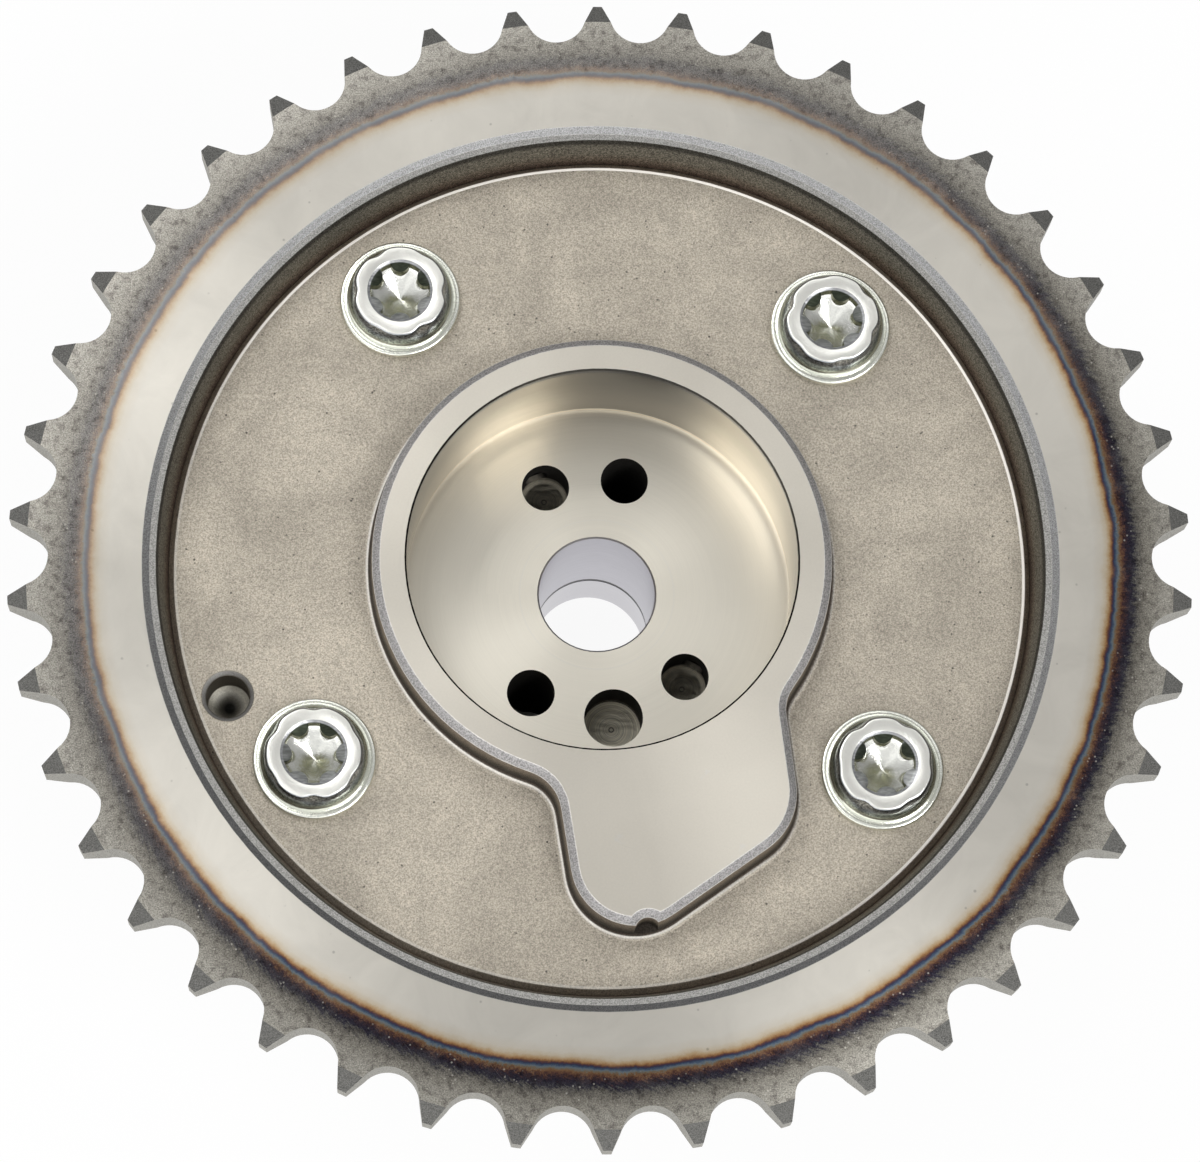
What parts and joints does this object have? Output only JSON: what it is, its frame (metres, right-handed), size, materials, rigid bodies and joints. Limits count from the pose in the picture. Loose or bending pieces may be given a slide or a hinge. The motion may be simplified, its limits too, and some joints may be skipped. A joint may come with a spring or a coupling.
{
  "type": "cam phaser",
  "caption": "Vane-type cam phaser with a toothed chain wheel, a bolted rear plate with a lobed boss, and a rotor that turns inside it and locks with a sprung pin.",
  "frame": {"origin": "centre of the front face, on the rotor's axis", "axes": "+Z along the axis towards the camshaft and the chain wheel, +Y towards the chain tooth at the top of the picture, +X to its right"},
  "size_m": [0.1086, 0.109, 0.036],
  "materials": {
    "sintered_sprocket": "ground face with heat tint, grey sintered flanks",
    "sintered_plate": "grainy sintered steel, ground boss face",
    "turned_steel": "fine turned face",
    "rotor_steel": "fine ground",
    "bush_steel": "turned and hardened",
    "pin_steel": "ground",
    "spring_wire": "bright drawn",
    "seal_polymer": "dark sealing plastic",
    "zinc_plate": "pale yellow-green zinc"
  },
  "bodies": {
    "housing": {"sprocket_housing": "sintered_sprocket", "rear_plate": "sintered_plate", "front_plate": "turned_steel", "housing_seal_1": "seal_polymer", "housing_seal_2": "seal_polymer", "housing_seal_3": "seal_polymer", "housing_seal_4": "seal_polymer", "housing_spring_1": "spring_wire", "housing_spring_2": "spring_wire", "housing_spring_3": "spring_wire", "housing_spring_4": "spring_wire", "lock_bush": "bush_steel", "flange_bolt_1": "zinc_plate", "flange_bolt_2": "zinc_plate", "flange_bolt_3": "zinc_plate", "flange_bolt_4": "zinc_plate"},
    "rotor": {"rotor": "rotor_steel", "centre_bush": "bush_steel", "vane_seal_1": "seal_polymer", "vane_seal_2": "seal_polymer", "vane_seal_3": "seal_polymer", "vane_seal_4": "seal_polymer", "vane_spring_1": "spring_wire", "vane_spring_2": "spring_wire", "vane_spring_3": "spring_wire", "vane_spring_4": "spring_wire", "lock_pin_retainer": "pin_steel", "lock_pin_spring": "spring_wire"},
    "lock_pin": {"lock_pin": "pin_steel"}
  },
  "joints": [
    {"name": "rotor_turn", "type": "hinge", "parent": "housing", "child": "rotor", "pos_m": [0, 0, 0], "axis": [0, 0, 1], "range_deg": [-30, 0]},
    {"name": "lock_pin_slide", "type": "slide", "parent": "rotor", "child": "lock_pin", "axis": [0, 0, -1], "range_m": [0, 0.0036], "stiffness_N_per_m": 800, "springref_m": -0.006, "deforming": ["lock_pin_spring"]}
  ]
}
